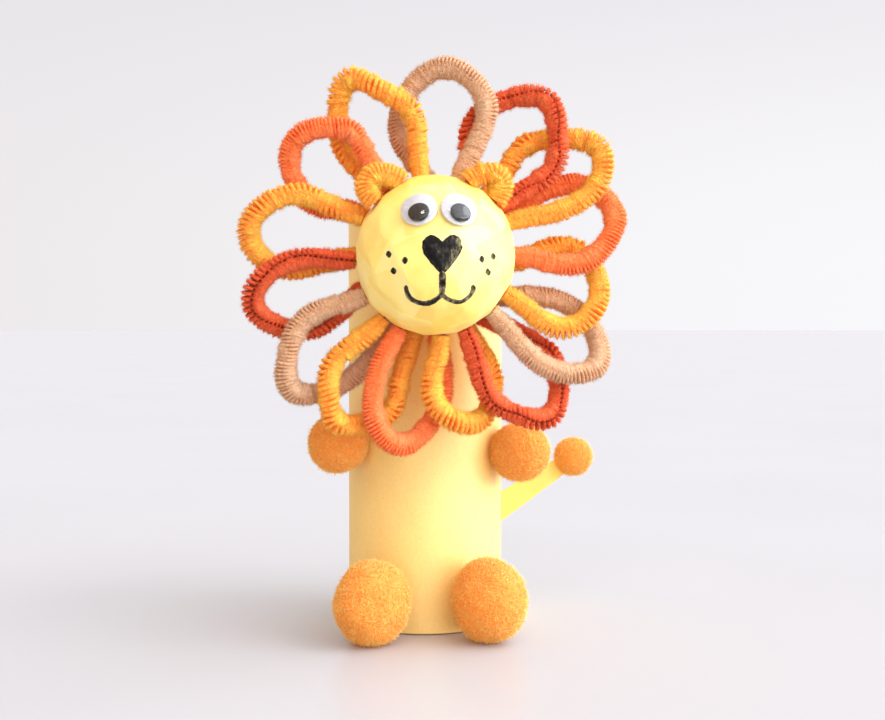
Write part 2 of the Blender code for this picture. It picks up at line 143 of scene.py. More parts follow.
LOOP_COLOURS = ("beige", "rust", "yellow", "orange", "yellow")

TAIL_START = (-4 * MM, 9 * MM)
TAIL_END = (44.5 * MM, 40.7 * MM)
TAIL_HALF_WIDTHS = (5.5 * MM, 2.4 * MM)
TAIL_POMPOM_X = 46 * MM

# ---- colour and shader helpers


def colour(red, green, blue):
    """Linear colour from display values of 0 to 255."""
    def linear(c):
        c /= 255
        return c / 12.92 if c <= 0.04045 else ((c + 0.055) / 1.055) ** 2.4
    return (linear(red), linear(green), linear(blue), 1.0)


def grey(value):
    """Linear grey."""
    return (value, value, value, 1.0)


class Nodes:
    """A node tree, built up call by call."""

    def __init__(self, owner):
        owner.use_nodes = True
        self.tree = owner.node_tree

    def add(self, kind, sockets=(), **settings):
        """A new shader node, with values or other sockets for its sockets."""
        node = self.tree.nodes.new("ShaderNode" + kind)
        for key, value in settings.items():
            setattr(node, key, value)
        for key, value in dict(sockets).items():
            self.feed(value, node.inputs[key])
        return node

    def feed(self, value, socket):
        """Link another socket to a socket, or set a plain value on it."""
        if isinstance(value, bpy.types.NodeSocket):
            self.tree.links.new(value, socket)
        else:
            socket.default_value = value

    def mix(self, first, second, share, blend="MIX"):
        """Mix two colours. Each may be a socket or a colour, and the share a socket or a number."""
        sockets = {0: share, 6: first, 7: second}
        return self.add("Mix", sockets, data_type="RGBA", blend_type=blend).outputs[2]

    def math(self, operation, first, second):
        return self.add("Math", {0: first, 1: second}, operation=operation).outputs[0]

    def spread(self, value, low, high):
        """0 to 1 as the value goes from low to high."""
        sockets = {"Value": value, "From Min": low, "From Max": high}
        return self.add("MapRange", sockets, interpolation_type="SMOOTHSTEP").outputs["Result"]


class Shader(Nodes):
    """A node material."""

    def __init__(self, name, roughness=0.6, **sockets):
        self.mat = bpy.data.materials.new(name)
        super().__init__(self.mat)
        self.principled = self.tree.nodes["Principled BSDF"]
        for key, value in dict(sockets, Roughness=roughness).items():
            self.principled.inputs[key.replace("_", " ")].default_value = value
        self.place = self.add("TexCoord").outputs["Object"]

    def noise(self, scale, detail=3.0, rough=0.5, stretch=None):
        """Noise from 0 to 1, with its scale in waves a metre."""
        place = self.place
        if stretch:
            place = self.add("Mapping", {"Vector": place, "Scale": stretch}).outputs["Vector"]
        sockets = {"Vector": place, "Scale": scale, "Detail": detail, "Roughness": rough}
        return self.add("TexNoise", sockets).outputs["Fac"]

    def stored(self):
        """The value stored on the mesh's points."""
        return self.add("Attribute", attribute_name="tip").outputs["Fac"]

    def ramp(self, value, stops):
        """Colours along a value, as (place, colour) stops of display values or linear colours."""
        node = self.add("ValToRGB", {"Fac": value})
        while len(node.color_ramp.elements) < len(stops):
            node.color_ramp.elements.new(0.5)
        for element, (at, paint) in zip(node.color_ramp.elements, stops):
            element.position = at
            element.color = colour(*paint) if len(paint) == 3 else paint
        return node.outputs["Color"]

    def between(self, value, first, second, low=0.3, high=0.7):
        """A colour that goes from the first to the second as the value goes from low to high."""
        return self.ramp(value, ((low, first), (high, second)))

    def base(self, paint):
        self.feed(paint, self.principled.inputs["Base Color"])

    def roughness(self, value, low, high):
        """Roughness that runs between two values."""
        node = self.add("MapRange", {"Value": value, "To Min": low, "To Max": high})
        self.feed(node.outputs["Result"], self.principled.inputs["Roughness"])

    def bump(self, height, distance, strength, target=None):
        """Surface relief with its height in metres, on the principled shader or another."""
        node = self.add("Bump", {"Height": height, "Distance": distance, "Strength": strength})
        self.feed(node.outputs["Normal"], (target or self.principled).inputs["Normal"])


# ---- mesh helpers


def quads_to_tris(quads):
    """Two triangles for each four-sided face."""
    return np.concatenate([quads[:, [0, 1, 2]], quads[:, [0, 2, 3]]])


class Body:
    """Points, triangles and one stored value a point, gathered into one mesh."""

    def __init__(self):
        self.points, self.tris, self.values, self.count = [], [], [], 0

    def add(self, points, tris, value=0.0):
        points = np.asarray(points, float).reshape(-1, 3)
        self.points.append(points)
        self.tris.append(np.asarray(tris, int) + self.count)
        self.values.append(np.broadcast_to(value, len(points)))
        self.count += len(points)

    def make(self, name, mat, sharp=None):
        """The mesh's object, with its edges sharp beyond an angle in degrees."""
        points = np.concatenate(self.points)
        tris = np.concatenate(self.tris)
        mesh = bpy.data.meshes.new(name)
        mesh.vertices.add(len(points))
        mesh.vertices.foreach_set("co", points.astype(np.float32).ravel())
        mesh.loops.add(tris.size)
        mesh.loops.foreach_set("vertex_index", tris.astype(np.int32).ravel())
        mesh.polygons.add(len(tris))
        mesh.polygons.foreach_set("loop_start", np.arange(0, tris.size, 3, dtype=np.int32))
        mesh.polygons.foreach_set("use_smooth", np.full(len(tris), True))
        attribute = mesh.attributes.new("tip", "FLOAT", "POINT")
        attribute.data.foreach_set("value", np.concatenate(self.values).astype(np.float32))
        mesh.update(calc_edges=True)
        if sharp:
            mesh.set_sharp_from_angle(angle=radians(sharp))
        obj = bpy.data.objects.new(name, mesh)
        SCENE.collection.objects.link(obj)
        mesh.materials.append(mat)
        return obj


def grid_tris(rows, columns, closed_columns=False, offset=0):
    """Triangles over a grid of points, row by row."""
    last = columns if closed_columns else columns - 1
    i, j = np.meshgrid(np.arange(rows - 1), np.arange(last), indexing="ij")
    here = i * columns + j
    beside = i * columns + (j + 1) % columns
    quads = np.stack([here, beside, beside + columns, here + columns], -1)
    return quads_to_tris(quads.reshape(-1, 4)) + offset


def slab(body, front, back, value=0.0):
    """Add a thin closed sheet between two grids of points, the front one facing out."""
    rows, columns = front.shape[:2]
    n = rows * columns
    down, along = np.arange(rows) * columns, np.arange(columns)
    rim = (along[::-1], along + n - columns, down, (down + columns - 1)[::-1])
    tris = [grid_tris(rows, columns), grid_tris(rows, columns, offset=n)[:, ::-1]]
    for line in rim:
        tris.append(quads_to_tris(np.stack([line[:-1], line[1:], line[1:] + n, line[:-1] + n], 1)))
    if np.ndim(value):
        value = np.concatenate([np.ravel(value)] * 2)
    body.add(np.concatenate([front.reshape(-1, 3), back.reshape(-1, 3)]), np.concatenate(tris), value)


def ripple(points, scale, seed, waves=12):
    """A smooth random value, about -1 to 1, at each point. The scale is the size of a bump."""
    random = np.random.default_rng(seed)
    ways = random.normal(size=(waves, 3))
    ways *= (random.uniform(0.6, 1.5, waves) / np.linalg.norm(ways, axis=1))[:, None]
    phases = random.uniform(0, 2 * pi, waves)
    return np.sin(points @ ways.T * (pi / scale) + phases).sum(1) / sqrt(waves / 2) / 1.6


def unit(vectors):
    """Vectors of length 1."""
    return vectors / np.linalg.norm(vectors, axis=-1, keepdims=True)


def smoothstep(x):
    """0 to 1 with soft ends as x goes from 0 to 1."""
    x = np.clip(x, 0, 1)
    return x * x * (3 - 2 * x)


def distances_along(points):
    """How far along a line each of its points is."""
    return np.concatenate([[0], np.cumsum(np.linalg.norm(np.diff(points, axis=0), axis=1))])


POLE = 0.0001 * MM  # radius of the ring that stands for a point on a turned piece's axis


def turned(profile, sides):
    """Points and triangles of a profile of (radius, height) points turned about Z, closed on itself."""
    radius, height = np.array(profile, float).T[:, :, None]
    radius = np.maximum(radius, POLE)
    angles = np.linspace(0, 2 * pi, sides, endpoint=False)
    points = np.stack([radius * np.cos(angles), radius * np.sin(angles), height + 0 * angles], -1)
    return points.reshape(-1, 3), grid_tris(len(profile), sides, True)


def capped_rings(body, rings, ends, value=0.0):
    """Add a closed tube of rings of points, with one point in the middle of each end."""
    rows, sides = rings.shape[:2]
    count = rows * sides
    last = count - sides
    caps = [(count, (k + 1) % sides, k) for k in range(sides)]
    caps += [(count + 1, last + k, last + (k + 1) % sides) for k in range(sides)]
    tris = np.concatenate([grid_tris(rows, sides, True), caps])
    body.add(np.concatenate([rings.reshape(-1, 3), ends]), tris, value)


def show(obj, nodes, body="root"):
    """The piece stands for its CAD nodes and moves with their body."""
    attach(obj, body)
    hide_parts(*nodes)


# ---- chenille stems

TWIST = 2.5 * MM  # one full turn of the wires; the pile fans out twice in each
FINE_TWIST = 1.7 * MM
PILE_TIP = 2.85 * MM
EAR_PILE_TIP = 3.0 * MM
PILE_PINCH = 0.8
PILE_SPREADS_OVER = 4 * MM
PILE_ROUND = 34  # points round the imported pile, closer together in front
PILE_STEP = 0.15 * MM
FUZZ_PER_MM = 280
FUZZ_WIDTH = 0.055 * MM
STRAND_RADIUS = 0.2 * MM
TUFTS = 600  # more than any stem has
FAN_FILLS = 0.94  # share of its half turn that each fan of fibre fills
OPENS = {"beige": 0.2, "rust": 0.4, "yellow": 0.42, "orange": 0.2}  # how far a bend opens each pile
PARTED = {2: 0.6, 7: 0.75, 12: 0.92}  # loops whose pile is parted in front, down to the wire
PARTED_A_LITTLE = 0.12  # the other stems
PART_WIDTH = 0.12  # in radians round the stem, as is the width of the painted shade beside the parting
SHADE_WIDTH = 0.5


def surface_direction(bearing, depth):
    """Unit vector from the head's middle to its surface, at a depth behind the middle."""
    across = sqrt(1 - (depth / HEAD_RADIUS) ** 2)
    angle = radians(bearing)
    return np.array([across * sin(angle), depth / HEAD_RADIUS, across * cos(angle)])


def stem_route(first, points, last, depths):
    """The points that a stem is bent through, as in the design."""
    start = surface_direction(first, depths[0])
    end = surface_direction(last, depths[1])
    inside = HEAD_RADIUS - WIRE_REACH
    outside = HEAD_RADIUS + GAP
    r, a = np.array(points).T
    flat = np.stack([r * MM * np.sin(np.radians(a)), r * MM * np.cos(np.radians(a))], 1)
    flat = np.concatenate([[start[[0, 2]] * outside], flat, [end[[0, 2]] * outside]])
    along = distances_along(flat)
    share = smoothstep((along / along[-1] - CROSSING[0]) / (CROSSING[1] - CROSSING[0]))
    depth = np.interp(share, (0, 1), depths)
    inner = np.stack([flat[:, 0], depth, flat[:, 1]], 1)[1:-1]
    return HEAD_AT + np.array([start * inside, start * outside, *inner, end * outside, end * inside])


def smooth_curve(route, step):
    """Evenly spaced points of a smooth curve through a route's inner points, and their distances along it."""
    pieces = []
    for a, b, c, d in zip(route, route[1:], route[2:], route[3:]):
        t1 = np.linalg.norm(b - a) ** 0.5
        t2 = t1 + np.linalg.norm(c - b) ** 0.5
        t3 = t2 + np.linalg.norm(d - c) ** 0.5
        t = np.linspace(t1, t2, 24, endpoint=False)[:, None]
        ab = a + (b - a) * (t / t1)
        bc = b + (c - b) * ((t - t1) / (t2 - t1))
        cd = c + (d - c) * ((t - t2) / (t3 - t2))
        abc = ab + (bc - ab) * (t / t2)
        bcd = bc + (cd - bc) * ((t - t1) / (t3 - t1))
        pieces.append(abc + (bcd - abc) * ((t - t1) / (t2 - t1)))
    points = np.concatenate(pieces + [[route[-2]]])
    along = distances_along(points)
    even = np.linspace(0, along[-1], int(along[-1] / step) + 1)
    return np.stack([np.interp(even, along, column) for column in points.T], 1), even


def carried_frames(points):
    """Tangents, and two directions across the curve that don't twist along it."""
    tangents = unit(np.gradient(points, axis=0))
    side = unit(np.cross(tangents[0], [0.0, 1.0, 0.2]))
    sides = []
    for tangent in tangents:
        side = unit(side - tangent * (side @ tangent))
        sides.append(side)
    sides = np.array(sides)
    return tangents, sides, np.cross(tangents, sides)


def tube_along(body, points, radius, sides):
    """Add a closed round tube along some points."""
    _, across, other = carried_frames(points)
    angles = np.linspace(0, 2 * pi, sides, endpoint=False)[:, None]
    rings = points[:, None] + (across[:, None] * np.cos(angles) + other[:, None] * np.sin(angles)) * radius
    capped_rings(body, rings, points[[0, -1]])


def spikes(body, roots, tips, width, root_tones, tip_tones):
    """Add one thin closed spike for each root and tip, with a tone at either end."""
    way = unit(tips - roots)
    helper = np.where(np.abs(way[:, :1]) < 0.8, [[1.0, 0, 0]], [[0, 1.0, 0]])
    across = unit(np.cross(way, helper))
    other = np.cross(way, across)
    corners = [roots + width * (across * cos(a) + other * sin(a)) for a in (0, 2 * pi / 3, 4 * pi / 3)]
    points = np.stack(corners + [tips], 1).reshape(-1, 3)
    at = np.arange(len(roots))[:, None] * 4
    tris = np.concatenate([at + k for k in ([0, 1, 3], [1, 2, 3], [2, 0, 3], [0, 2, 1])])
    body.add(points, tris, np.stack([root_tones] * 3 + [tip_tones], 1).ravel())


class Pile:
    """How far the fibre reaches round a stem: two helical fans, which open into tufts outside a bend."""

    def __init__(self, points, along, twist, tip, pinch, opens, parting, random):
        self.along, self.tip, self.pinch, self.opens = along, tip, pinch, opens
        self.tangents, self.across, self.other = carried_frames(points)
        self.bend = np.gradient(self.tangents, along, axis=0)
        self.turn = 2 * pi * along / twist + random.uniform(0, 2 * pi) + 0.25 * ripple(points, 3 * MM, 8)
        self.tufts = random.normal(1.0, 0.045, (3, TUFTS))
        wander = 0.3 * ripple(points, 9 * MM, 5)
        self.part = parting
        self.part_angle = np.arctan2(-self.other[:, 1], -self.across[:, 1]) + wander

    def way(self, k, angle):
        """Unit vectors out of the stem."""
        return self.across[k] * np.cos(angle)[..., None] + self.other[k] * np.sin(angle)[..., None]

    def reach(self, k, angle):
        """How far the pile stands out, and a tone of painted shade and light, from 0 in its depths to 1 at
        its ends.
        """
        open_by = np.clip(-(self.bend[k] * self.way(k, angle)).sum(-1) * self.tip, -0.3, self.opens)
        fan = (angle - self.turn[k]) / pi
        nearest = np.round(fan).astype(int)
        widths, lengths, partings = self.tufts[:, nearest % TUFTS]
        off = np.abs(fan - nearest) * 2
        half = FAN_FILLS / (1 + 1.5 * np.maximum(open_by, 0)) * widths
        full = np.sqrt(np.clip(1 - (off / half) ** 4, 0, 1))
        floor = np.clip(0.98 - 2 * open_by, 0.3, 0.98)
        share = (floor + (1 - floor) * full) * lengths * (1 + np.clip(-open_by, 0, 0.3))
        from_part = (angle - self.part_angle[k] + pi) % (2 * pi) - pi
        dashes = 0.5 + 0.5 * np.sin(2 * self.turn[k])
        uneven = np.clip(0.8 + 6 * (partings - 1), 0.3, 1.0)
        part = self.part * dashes * uneven * np.exp(-((from_part / PART_WIDTH) ** 2))
        from_end = np.minimum(self.along[k], self.along[-1] - self.along[k])
        spread = self.pinch + (1 - self.pinch) * smoothstep(from_end / PILE_SPREADS_OVER)
        # painted shade: the fibre beside the parting is darkened, more on parted stems
        shade = (0.08 + 0.3 * self.part) * np.exp(-((from_part / SHADE_WIDTH) ** 2))
        # the tone paints shade where the pile is short between the tufts and down the parting
        tone = np.clip(0.7 * share + 0.05 * (full - 1) - 0.35 * part - shade, 0, 1)
        return self.tip * spread * share * (1 - part), tone, full * (1 - part)


def chenille(name, route, mat, seed, twist, opens, parting, tip=PILE_TIP, pinch=PILE_PINCH):
    """The dense fibre on a twisted pair of wires, with its loose ends."""
    random = np.random.default_rng(seed)
    points, along = smooth_curve(route, PILE_STEP)
    pile = Pile(points, along, twist, tip, pinch, opens, parting, random)
    body = Body()

    k = np.repeat(np.arange(len(points))[:, None], PILE_ROUND, 1)
    even = np.linspace(-pi, pi, PILE_ROUND, endpoint=False)
    angle = pile.part_angle[:, None] + even - 0.6 * np.sin(even)
    reach, tone, _ = pile.reach(k, angle)
    reach = reach * random.normal(0.82, 0.03, reach.shape)
    rings = points[:, None] + pile.way(k, angle) * reach[..., None]
    # the stored tone paints shade into the pile's depths and beside the parting
    value = np.concatenate([(tone + random.normal(0, 0.1, tone.shape)).ravel(), [0, 0]])
    capped_rings(body, rings, points[[0, -1]], value)

    n = int(along[-1] / MM * FUZZ_PER_MM)
    k = random.integers(0, len(points), n)
    angle = random.uniform(0, 2 * pi, n)
    reach, tone, full = pile.reach(k, angle)
    keep = full > random.uniform(0.1, 0.9, n)
    k, angle, reach, tone = k[keep], angle[keep], reach[keep], tone[keep]
    n = len(k)
    centre = points[k] + pile.tangents[k] * random.uniform(-0.5, 0.5, (n, 1)) * PILE_STEP
    way = unit(pile.way(k, angle) + random.normal(0, 0.13, (n, 3)))
    roots = centre + way * (0.6 * reach)[:, None]
    tips = centre + way * (reach * random.normal(1.0, 0.06, n))[:, None]
    # painted shade at the fibre roots and painted light at their ends
    tone = tone + random.normal(0, 0.16, n)
    spikes(body, roots, tips, FUZZ_WIDTH, tone * 0.85, tone + 0.3)
    return body.make(name, mat)


def twisted_wire(name, route, mat):
    """The stem's two wires, bare where they go into the head."""
    points, _ = smooth_curve(route, 0.3 * MM)
    lead_in = np.linspace(route[0], points[0], 12, endpoint=False)
    lead_out = np.linspace(points[-1], route[-1], 13)[1:]
    points = np.concatenate([lead_in, points, lead_out])
    _, across, other = carried_frames(points)
    along = distances_along(points)
    body = Body()
    for strand in (0, pi):
        turn = (2 * pi * along / TWIST + strand)[:, None]
        path = points + (across * np.cos(turn) + other * np.sin(turn)) * STRAND_RADIUS
        tube_along(body, path, STRAND_RADIUS, 5)
    return body.make(name, mat)


def pile_material(name, deep, middle_paint, tip):
    """Dyed fibre, with painted shade between the tufts and painted light at its ends."""
    # the faint emission is a painted glow, standing for the light that comes through the fibre
    shader = Shader(
        name, roughness=0.9, Specular_IOR_Level=0.15, Emission_Color=middle_paint, Emission_Strength=0.06,
        Sheen_Weight=0.35, Sheen_Roughness=0.45, Sheen_Tint=tip,
    )
    # the stored tone picks painted shade in the pile's depths, the pile's own colour, and painted light at
    # the fibre ends
    paint = shader.ramp(shader.stored(), ((0.1, deep), (0.55, middle_paint), (0.95, tip)))
    mottle = shader.between(shader.noise(1400, 3, 0.6), grey(0.84), grey(1.1))
    shader.base(shader.mix(paint, mottle, 1.0, "MULTIPLY"))
    shader.bump(shader.noise(5000, 2), 0.08 * MM, 0.5)
    return shader.mat


def wire_material():
    """Galvanised wire with a thin dulled film."""
    shader = Shader("stem_wire", roughness=0.35, Metallic=1.0)
    film = shader.noise(2500, 3)
    shader.base(shader.between(film, (120, 120, 122), (185, 185, 188)))
    shader.roughness(film, 0.25, 0.5)
    return shader.mat


PILE_SHADE_PAINT_AND_LIGHT = {  # painted shade between the tufts, the pile's own colour, and painted light at the ends of the fibre
    "beige": ((198, 142, 104), (207, 158, 120), (226, 188, 154)),
    "rust": ((140, 50, 32), (214, 84, 48), (240, 122, 78)),
    "yellow": ((242, 128, 50), (249, 151, 62), (255, 202, 86)),
    "orange": ((232, 92, 46), (248, 118, 62), (254, 152, 98)),
}


def make_stems():
    """The mane and the ears."""
    wire = wire_material()
    pile = {}
    # each pile gets its painted shade, its own colour and its painted light
    for tint, shade_paint_and_light in PILE_SHADE_PAINT_AND_LIGHT.items():
        pile[tint] = pile_material(f"{tint}_pile", *(colour(*paint) for paint in shade_paint_and_light))

    def stem(node, bends, rows, tint, seed, *form):
        route = stem_route(*bends, rows)
        show(chenille(f"{node}_pile", route, pile[tint], seed, *form), [node])
        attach(twisted_wire(f"{node}_wire", route, wire), "root")

    for i, bends in enumerate(MANE_LOOPS):
        tint = LOOP_COLOURS[i % len(LOOP_COLOURS)]
        twist = TWIST if tint in ("rust", "yellow") else FINE_TWIST
        parting = PARTED.get(i + 1, PARTED_A_LITTLE)
        rows = (MANE_BACK_ROW, MANE_FRONT_ROW)
        stem(f"mane_loop_{i + 1:02d}", bends, rows, tint, 100 + i, twist, OPENS[tint], parting)
    for i, (side, bends) in enumerate(EAR_STEMS.items()):
        form = (FINE_TWIST, 0.1, PARTED_A_LITTLE, EAR_PILE_TIP, 0.9)
        stem(f"ear_{side}", bends, (EAR_ROW, EAR_ROW), "yellow", 200 + i, *form)


# ---- pompoms

# for each layer of fluff: fibres on each square mm, their width, their least and greatest length, how far out
# their roots are as a share of the radius, how straight out they point, and their tone, painted shade inside,
# painted light outside
FLUFF_LAYERS = (
    (18, 0.055 * MM, (0.5 * MM, 1.3 * MM), 0.885, 0.9, 0.38),
    (6, 0.09 * MM, (0.8 * MM, 1.6 * MM), 0.935, 0.1, 0.8),
)
POMPOMS = {  # middle, in mm from the tube's foot, and half sizes in mm
    "hand_left": ((-24.0, -14.0, 49.8), (8.0, 8.3, 8.0)),
    "hand_right": ((24.3, -14.0, 47.1), (8.0, 8.3, 8.0)),
    "foot_left": ((-15.6, -28.8, 10.6), (9.8, 11.6, 11.2)),
    "foot_right": ((14.2, -28.6, 10.6), (9.6, 11.4, 11.2)),
}


def sphere_points(count):
    """Evenly spread unit vectors."""
    i = np.arange(count) + 0.5
    z = 1 - 2 * i / count
    turn = pi * (1 + sqrt(5)) * i
    across = np.sqrt(1 - z * z)
    return np.stack([across * np.cos(turn), across * np.sin(turn), z], 1)


def icosphere(level):
    """Points and triangles of a unit sphere."""
    bm = bmesh.new()
    bmesh.ops.create_icosphere(bm, subdivisions=level, radius=1)
    points = np.array([v.co for v in bm.verts])
    tris = np.array([[v.index for v in f.verts] for f in bm.faces])
    bm.free()
    return unit(points), tris


def keep_out(points, floor, clear):
    """Push points off the table and out of the wrapped tube."""
    points = points.copy()
    if floor:
        points[:, 2] = np.maximum(points[:, 2], 0.05 * MM)
    if clear:
        away = points[:, :2] - TUBE_FOOT[:2]
        far = np.linalg.norm(away, axis=1)
        least = WRAP_OUTER + 0.1 * MM
        grow = np.where(far < least, least / np.maximum(far, 1e-9), 1)
        points[:, :2] = TUBE_FOOT[:2] + away * grow[:, None]
    return points


def pompom(name, centre, radii, turn, mat, seed, floor=False, clear=True):
    """A ball of short teased fibres on a lumpy core."""
    random = np.random.default_rng(seed)
    centre, radii = np.array(centre), np.array(radii)
    spin = np.array([[cos(turn), -sin(turn), 0], [sin(turn), cos(turn), 0], [0, 0, 1]])

    def place(ways, scale):
        return centre + (ways * radii * scale[:, None]) @ spin.T

    def lumps(ways):
        return 0.022 * ripple(ways, 0.55, seed) + 0.012 * ripple(ways, 0.22, seed + 1)

    body = Body()
    ways, tris = icosphere(6)
    fine = 0.005 * ripple(ways, 0.09, seed + 2, 20)
    core = place(ways, 0.91 + lumps(ways) + fine)
    # the core's low stored tone paints shade deep in the ball
    body.add(keep_out(core, floor, clear), tris, 0.15 + 12 * fine)

    for density, width, lengths, depth, straight, shade in FLUFF_LAYERS:
        n = int(4 * pi * float(np.mean(radii)) ** 2 / MM**2 * density)
        ways = unit(sphere_points(n) + random.normal(0, 0.02, (n, 3)))
        base = place(ways, depth + lumps(ways))
        out = unit(base - centre)
        way = unit(out * straight + random.normal(0, 0.6, (n, 3)))
        way = unit(way + out * np.maximum(0.1 - (way * out).sum(1), 0)[:, None])
        tips = base + way * random.uniform(*lengths, n)[:, None]
        tone = random.normal(shade, 0.2, n)
        base, tips = keep_out(base, floor, clear), keep_out(tips, floor, clear)
        # painted shade at the fibre roots and painted light at their ends
        spikes(body, base, tips, width, tone - 0.1, tone + 0.3)
    return body.make(name, mat)


def fluff_material():
    """Two tones of orange fibre, teased together, with painted shade deep in the ball, painted light at the
    fibre ends and a faint painted glow.
    """
    # the faint emission is a painted glow, standing for light that comes through the fibre
    shader = Shader(
        "orange_fluff", roughness=0.9, Specular_IOR_Level=0.1,
        Emission_Color=colour(250, 140, 56), Emission_Strength=0.1,
    )
    stops = ((0.0, (251, 140, 50)), (0.5, (255, 184, 86)), (1.0, (255, 236, 150)))
    # the stored tone picks painted shade deep in the ball and painted light at the fibre ends
    depth = shader.ramp(shader.stored(), stops)
    cloud = shader.between(shader.noise(260, 3, 0.6), (252, 160, 62), (255, 200, 96), 0.35, 0.65)
    shader.base(shader.mix(depth, cloud, 0.35))
    return shader.mat


def make_pompoms():
    """Hands, feet and the tail's tuft."""
    mat = fluff_material()
    for seed, (node, (place, radii)) in enumerate(POMPOMS.items()):
        offset = Vector(place) * MM
        centre = Vector(TUBE_FOOT) + offset
        turn = atan2(offset.y, offset.x) - pi / 2
        on_floor = node.startswith("foot")
        obj = pompom(f"{node}_fluff", centre, Vector(radii) * MM, turn, mat, 300 + seed, on_floor)
        show(obj, [node])
    low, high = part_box("tail_pompom")
    radius = (high.x - low.x) / 2
    centre = Vector((TUBE_AXIS.x + TAIL_POMPOM_X, (low.y + high.y) / 2, (low.z + high.z) / 2))
    obj = pompom("tail_pompom_fluff", centre, (radius,) * 3, 0, mat, 310, clear=False)
    show(obj, ["tail_pompom"])


# ---- the tube

PLY_SLANT = 0.62  # how far the roll's joint climbs in a turn, as a share of the roll's girth
PLY_JOINT = 0.006  # half the joint's width, as a share of a turn


def tube_material():
    """Smooth coloured paper, with its fibre just showing."""
    shader = Shader("tube_paper", IOR=1.5, Specular_IOR_Level=1.0)
    fibre = shader.noise(2600, 4, 0.65, (1, 1, 0.45))
    paint = shader.between(shader.noise(160, 3, 0.55), (245, 208, 116), (248, 214, 125))
    specks = shader.between(fibre, (232, 189, 92), (250, 218, 132), 0.35, 0.6)
    shader.base(shader.mix(paint, specks, 0.3))
    shader.roughness(fibre, 0.5, 0.62)
    shader.bump(fibre, 0.04 * MM, 0.35)
    return shader.mat


def card_material():
    """Grey-brown roll board."""
    shader = Shader("card_core", roughness=0.9)
    fleck = shader.noise(1800, 5, 0.7)
    paint = shader.between(fleck, (140, 112, 80), (188, 160, 124))
    even = shader.between(shader.noise(140, 2), grey(0), grey(1))
    shader.base(shader.mix(paint, colour(168, 140, 104), even))
    shader.bump(fleck, 0.08 * MM, 0.5)
    return shader.mat


def make_core():
    """The roll, with the slanted joint of its ply outside and inside."""
    core = Body()
    columns, rows = 192, 111
    turn = np.linspace(0, 2 * pi, columns, endpoint=False)
    height = np.linspace(0, TUBE_HEIGHT, rows)[:, None]
    shells = []
    for radius, groove in ((TUBE_RADIUS, 0.08 * MM), (TUBE_RADIUS - TUBE_WALL, -0.12 * MM)):
        pitch = 2 * pi * radius * PLY_SLANT
        slant = (turn / (2 * pi) + height / pitch) % 1.0
        r = radius - groove * np.exp(-((slant - 0.5) / PLY_JOINT) ** 2)
        shell = np.stack([r * np.cos(turn), r * np.sin(turn), height + 0 * turn], -1)
        shells.append(TUBE_FOOT + shell.reshape(-1, 3))
    n = rows * columns
    tris = [grid_tris(rows, columns, True), grid_tris(rows, columns, True, n)[:, ::-1]]
    for row, flip in ((0, 1), (rows - 1, -1)):
        ring = np.arange(columns) + row * columns
        after = np.roll(ring, -1)
        quads = np.stack([ring, ring + n, after + n, after], 1)
        tris.append(quads_to_tris(quads)[:, ::flip])
    core.add(np.concatenate(shells), np.concatenate(tris))
    show(core.make("tube_core_board", card_material()), ["tube_core"])


def make_wrap():
    """The sheet of paper round the roll, lapped over its own start."""
    sheet = Body()
    step = 1.5
    rows = 75
    turn = np.arange(0, 360 + WRAP_OVERLAP + step / 2, step)
    climb = smoothstep((turn - 360 + WRAP_LIFT) / WRAP_LIFT)
    lift = (WRAP_THICKNESS + GAP) * climb
    bearing = np.radians(SEAM_BEARING + turn)
    tall = np.repeat(np.linspace(WRAP_INSET, TUBE_HEIGHT - WRAP_INSET, rows)[:, None], len(turn), 1)
    spots = np.stack([np.repeat(bearing[None], rows, 0), tall / (8 * MM), 0 * tall], -1)
    wave = 0.03 * MM * ripple(spots.reshape(-1, 3), 1.3, 7).reshape(rows, -1)
    layers = []
    for radius in (WRAP_OUTER, WRAP_INNER):
        r = radius + lift + wave
        layers.append(TUBE_FOOT + np.stack([r * np.cos(bearing), r * np.sin(bearing), tall], -1))
    slab(sheet, *layers)
    show(sheet.make("tube_paper_sheet", tube_material(), 50), ["tube_paper"])


# ---- the head

STRIP_PAPER = 0.07 * MM
FACET_DEPTH = 0.42 * MM
FACETS = 84


def strip_layout():
    """The paper strips in the order they were stuck on: middle, way along, half length and half width."""
    random = np.random.default_rng(41)
    strips = []
    for turn in range(0, 180, 20):
        # strips laid over the top, from side to side
        angle = radians(turn + random.uniform(-5, 5))
        tilt = random.uniform(-0.2, 0.2)
        way = unit(np.array([cos(angle), sin(angle), tilt]))
        middle_way = unit(np.cross(way, [sin(angle), -cos(angle), random.uniform(-0.3, 0.3)]))
        strips += [(middle_way, way, 80, 4.8), (-middle_way, way, 80, 4.8)]
    for _ in range(26):
        # shorter pieces that close the gaps
        way = unit(random.normal(size=3))
        middle_way = unit(np.cross(way, random.normal(size=3)))
        strips.append((middle_way, way, random.uniform(24, 44), random.uniform(3.4, 5.2)))
    return [(m, w, radians(length), width * MM) for m, w, length, width in strips]


STRIPS = strip_layout()
FACET_WAYS = unit(sphere_points(FACETS) + np.random.default_rng(5).normal(0, 0.05, (FACETS, 3)))
FACET_REACH = HEAD_RADIUS - FACET_DEPTH + np.random.default_rng(6).uniform(-0.06, 0.06, FACETS) * MM


def base_reach(ways):
    """How far the creased under-layer is from the head's middle, along each way."""
    dots = ways @ FACET_WAYS.T
    flats = FACET_REACH / np.maximum(dots, 0.2)
    sharp = 16.0 / MM
    soft = -np.log(np.exp(-(flats - HEAD_RADIUS) * sharp).sum(1) + 1e-12) / sharp + HEAD_RADIUS
    return np.minimum(soft, HEAD_RADIUS + 0.12 * MM)


